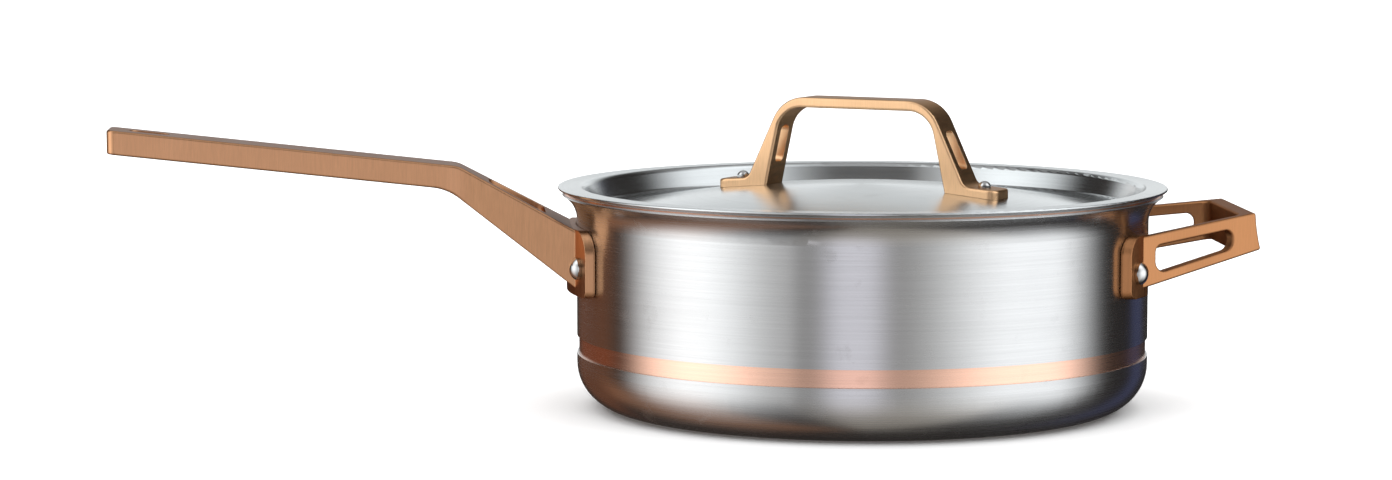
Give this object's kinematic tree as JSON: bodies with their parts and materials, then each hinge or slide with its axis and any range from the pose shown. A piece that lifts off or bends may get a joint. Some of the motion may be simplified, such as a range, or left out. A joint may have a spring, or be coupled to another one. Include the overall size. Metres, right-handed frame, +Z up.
{
  "type": "lidded saucepan",
  "caption": "Low straight-sided clad saucepan with an inset metal lid, a long riveted handle, a helper loop handle and a copper band.",
  "frame": {"origin": "centre of the pan's flat base, on the surface it stands on", "axes": "+Z up through the middle of the pan, -X along the long handle, +X along the helper handle"},
  "size_m": [0.4874, 0.261, 0.1328],
  "materials": {
    "steel": "brushed around the pan, satin sheen",
    "cooking_steel": "brushed inside, satin",
    "core_copper": "copper, turned and polished where the groove shows it",
    "core_aluminium": "bonded inside the wall, seen only at the lip",
    "handle_bronze": "copper-bronze coating over steel, satin brushed across the handle",
    "lid_steel": "polished flange and recess, brushed dome",
    "rivet_steel": "polished steel"
  },
  "bodies": {
    "pan": {"outer_steel_wall": "steel", "outer_steel_base": "steel", "outer_aluminium_wall": "core_aluminium", "outer_aluminium_base": "core_aluminium", "copper_core": "core_copper", "inner_aluminium": "core_aluminium", "inner_steel": "cooking_steel", "long_handle": "handle_bronze", "helper_handle": "handle_bronze", "long_handle_rivet_1": "rivet_steel", "long_handle_rivet_2": "rivet_steel", "helper_handle_rivet_1": "rivet_steel", "helper_handle_rivet_2": "rivet_steel"},
    "lid": {"lid": "lid_steel", "lid_handle": "handle_bronze", "lid_rivet_1": "rivet_steel", "lid_rivet_2": "rivet_steel"}
  },
  "joints": [
    {"name": "lid_lift", "type": "slide", "parent": "pan", "child": "lid", "axis": [0, 0, 1], "range_m": [0, 0.1]}
  ]
}
